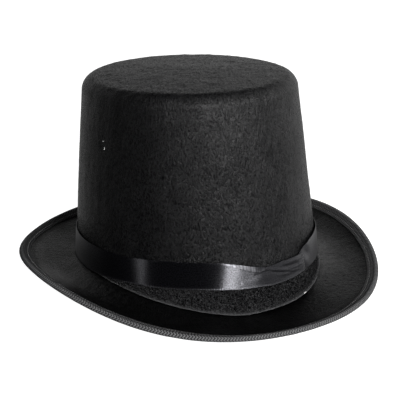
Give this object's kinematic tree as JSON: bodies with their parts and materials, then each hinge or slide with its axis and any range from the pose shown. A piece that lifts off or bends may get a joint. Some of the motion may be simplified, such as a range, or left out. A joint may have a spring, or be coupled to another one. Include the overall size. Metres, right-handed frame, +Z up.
{
  "type": "top hat",
  "caption": "Black felt top hat with a slightly tapered, gently leaning crown, a satin ribbon and a wired, tape-bound brim that rises at the sides.",
  "frame": {"origin": "on the plane the hat stands on, under the centre of the brim", "axes": "+Z up, -Y the way the wearer faces, +X the wearer's left"},
  "size_m": [0.2704, 0.3064, 0.1603],
  "materials": {
    "crown_felt": "matt pressed felt, fibres showing",
    "brim_felt": "matt pressed felt, smoother than the crown",
    "binding_tape": "fine twill tape",
    "ribbon_satin": "satin ribbon, soft sheen",
    "black_thread": "twisted sewing thread",
    "sweatband_cloth": "close ribbed cloth",
    "lining_satin": "thin satin",
    "edge_wire": "plain spring wire",
    "reed_plastic": "translucent cord",
    "label_cloth": "plain woven tape, blank"
  },
  "bodies": {
    "hat": {"crown_shell": "crown_felt", "brim": "brim_felt", "edge_binding": "binding_tape", "edge_wire": "edge_wire", "wire_ferrule": "edge_wire", "binding_top_thread": "black_thread", "binding_under_thread": "black_thread", "sweatband": "sweatband_cloth", "sweatband_reed": "reed_plastic", "sweatband_thread": "black_thread", "sweatband_joint_thread": "black_thread", "side_lining": "lining_satin", "tip_lining": "lining_satin", "lining_seam_thread": "black_thread"},
    "ribbon": {"ribbon_loop": "ribbon_satin", "ribbon_lap": "ribbon_satin", "ribbon_tack": "black_thread"},
    "label": {"care_label": "label_cloth"}
  },
  "joints": [
    {"name": "ribbon_lift", "type": "slide", "parent": "hat", "child": "ribbon", "axis": [0, 0.0583, 0.9983], "range_m": [0, 0.15]},
    {"name": "label_flap", "type": "hinge", "parent": "hat", "child": "label", "pos_m": [0, 0.09774, 0.0076], "axis": [1, 0, 0], "range_deg": [0, 100]}
  ]
}
